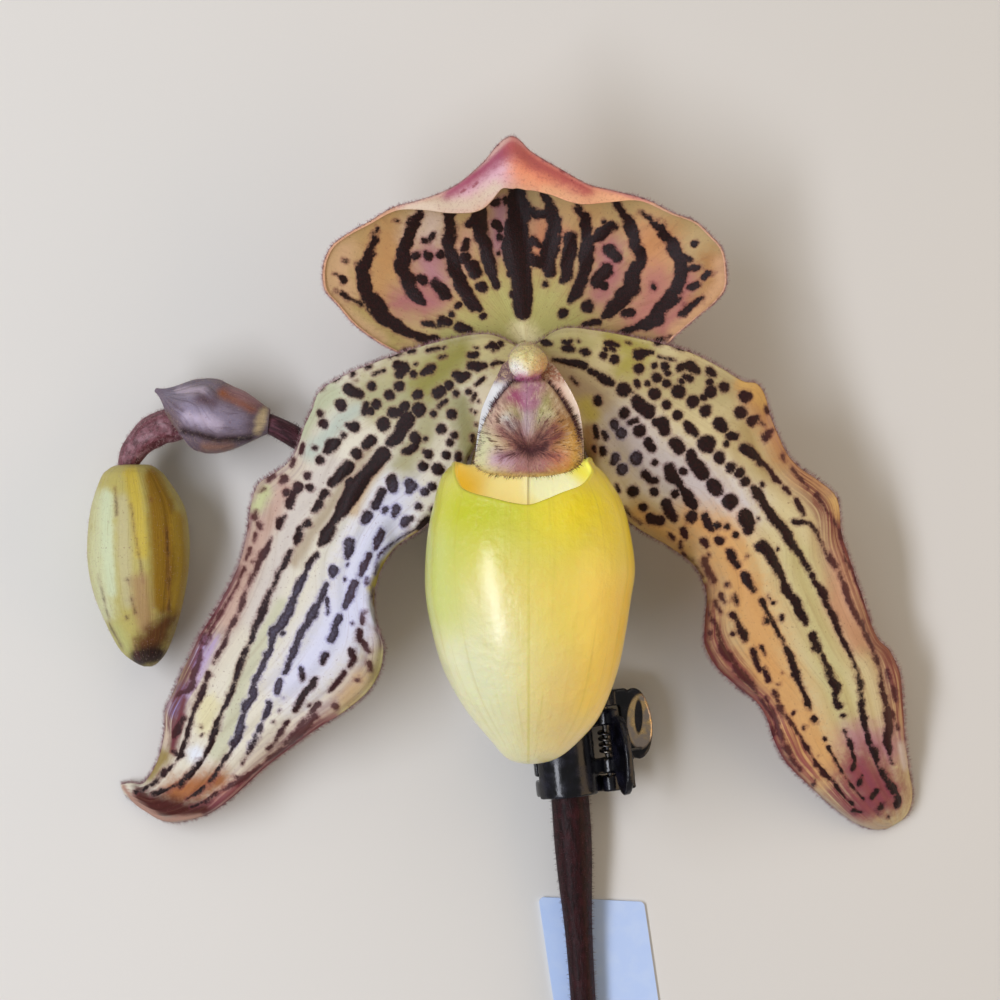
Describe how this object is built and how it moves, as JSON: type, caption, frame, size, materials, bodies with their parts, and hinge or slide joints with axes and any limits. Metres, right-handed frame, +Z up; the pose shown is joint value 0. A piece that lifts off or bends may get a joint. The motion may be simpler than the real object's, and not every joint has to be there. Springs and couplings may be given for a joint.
{
  "type": "paphiopedilum orchid",
  "caption": "Cut slipper-orchid stem lying on its back with an open flower, a bud, a small hinged claw clip on the stem and a bare plant label.",
  "frame": {"origin": "middle of the bottom of the box around the whole cut stem, on the surface it lies on", "axes": "+Z up, the way the open flower faces; +Y from the cut end of the stem to the tip of the back sepal; +X to the flower's right as seen from above"},
  "size_m": [0.1312, 0.1846, 0.0466],
  "materials": {
    "stem_tissue": "satin",
    "sepal_tissue": "satin",
    "petal_tissue": "satin",
    "pouch_tissue": "gloss",
    "column_tissue": "satin",
    "bud_tissue": "satin",
    "bract_tissue": "matte",
    "clip_plastic": "gloss",
    "clip_steel": "satin",
    "label_plastic": "satin"
  },
  "bodies": {
    "orchid": {"flower_stem": "stem_tissue", "flower_ovary": "stem_tissue", "open_flower_bract": "bract_tissue", "dorsal_sepal": "sepal_tissue", "synsepal": "sepal_tissue", "petal_left": "petal_tissue", "petal_right": "petal_tissue", "labellum_pouch": "pouch_tissue", "column": "column_tissue", "staminode": "column_tissue", "bud": "bud_tissue", "bud_ovary": "stem_tissue", "bud_bract": "bract_tissue", "clip_rear_jaw": "clip_plastic", "clip_pin": "clip_steel", "clip_spring": "clip_steel", "plant_label": "label_plastic"},
    "clip_jaw": {"clip_front_jaw": "clip_plastic"}
  },
  "joints": [
    {"name": "clip_hinge", "type": "hinge", "parent": "orchid", "child": "clip_jaw", "pos_m": [0.01675, -0.00244, 0.00515], "axis": [-0.1045, 0.9945, 0], "range_deg": [0, 40], "stiffness_Nm_per_rad": 0.01, "springref_deg": -20.05, "deforming": ["clip_spring"]}
  ]
}
